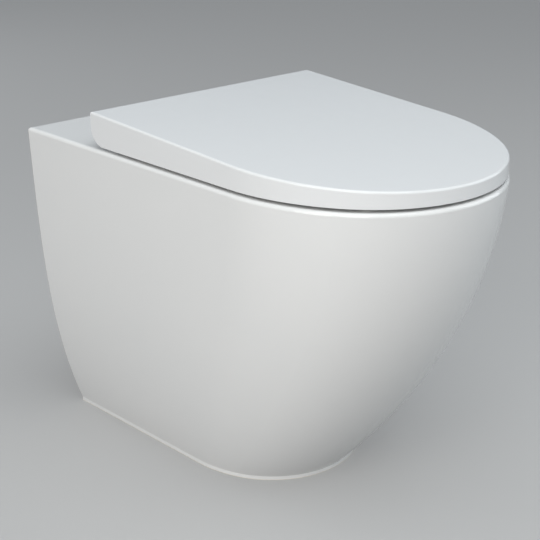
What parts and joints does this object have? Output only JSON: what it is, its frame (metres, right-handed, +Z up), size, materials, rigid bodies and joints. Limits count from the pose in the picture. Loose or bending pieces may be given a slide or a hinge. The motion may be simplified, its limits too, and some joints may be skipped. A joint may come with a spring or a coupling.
{
  "type": "back to wall toilet",
  "caption": "Floor-standing back to wall toilet with a fully skirted D-shaped pan, wrap-over wedge lid, soft-close seat ring, hidden floor brackets, trap and horizontal waste spigot",
  "frame": {"origin": "middle of the underside of the object's box, on the floor, halfway between the wall plane and the front of the pan", "axes": "+X to the right hand of a viewer facing the wall, +Y back into the wall, +Z up"},
  "size_m": [0.3604, 0.5696, 0.4435],
  "materials": {
    "ceramic": "gloss white vitreous glaze",
    "seat_plastic": "gloss white moulded thermoset",
    "hinge_chrome": "bright plate",
    "steel": "plain stainless",
    "damper_plastic": "grey moulded",
    "bumper_rubber": "soft off-white",
    "seal_rubber": "matt black",
    "nut_plastic": "natural nylon",
    "bracket_steel": "zinc grey coat"
  },
  "bodies": {
    "pan": {"pan": "ceramic", "floor_bracket_right": "bracket_steel", "floor_bracket_left": "bracket_steel", "clamp_bolts": "steel", "clamp_washers": "steel", "bracket_nuts": "steel", "seat_studs": "steel", "stud_gaskets": "seal_rubber", "stud_bushes": "seal_rubber", "wing_nuts": "nut_plastic", "hinge_block_right": "hinge_chrome", "hinge_block_left": "hinge_chrome", "hinge_pin_right": "steel", "hinge_pin_left": "steel", "damper_lid_shaft": "damper_plastic", "damper_seat_shaft": "damper_plastic", "inlet_seal": "seal_rubber", "button_spring_right": "steel", "button_spring_left": "steel"},
    "seat": {"seat_ring": "seat_plastic", "seat_bumpers": "bumper_rubber", "damper_seat": "damper_plastic"},
    "lid": {"lid": "seat_plastic", "lid_bumpers": "bumper_rubber", "damper_lid": "damper_plastic"},
    "button_right": {"release_button_right": "hinge_chrome"},
    "button_left": {"release_button_left": "hinge_chrome"}
  },
  "joints": [
    {"name": "seat_hinge", "type": "hinge", "parent": "pan", "child": "seat", "pos_m": [0, 0.131, 0.428], "axis": [-1, 0, 0], "range_deg": [0, 92]},
    {"name": "lid_hinge", "type": "hinge", "parent": "seat", "child": "lid", "pos_m": [0, 0.131, 0.428], "axis": [-1, 0, 0], "range_deg": [0, 94]},
    {"name": "release_right", "type": "slide", "parent": "pan", "child": "button_right", "axis": [1, 0, 0], "range_m": [0, 0.002], "stiffness_N_per_m": 1200, "springref_m": -0.002, "deforming": ["button_spring_right"]},
    {"name": "release_left", "type": "slide", "parent": "pan", "child": "button_left", "axis": [-1, 0, 0], "range_m": [0, 0.002], "stiffness_N_per_m": 1200, "springref_m": -0.002, "deforming": ["button_spring_left"]}
  ]
}
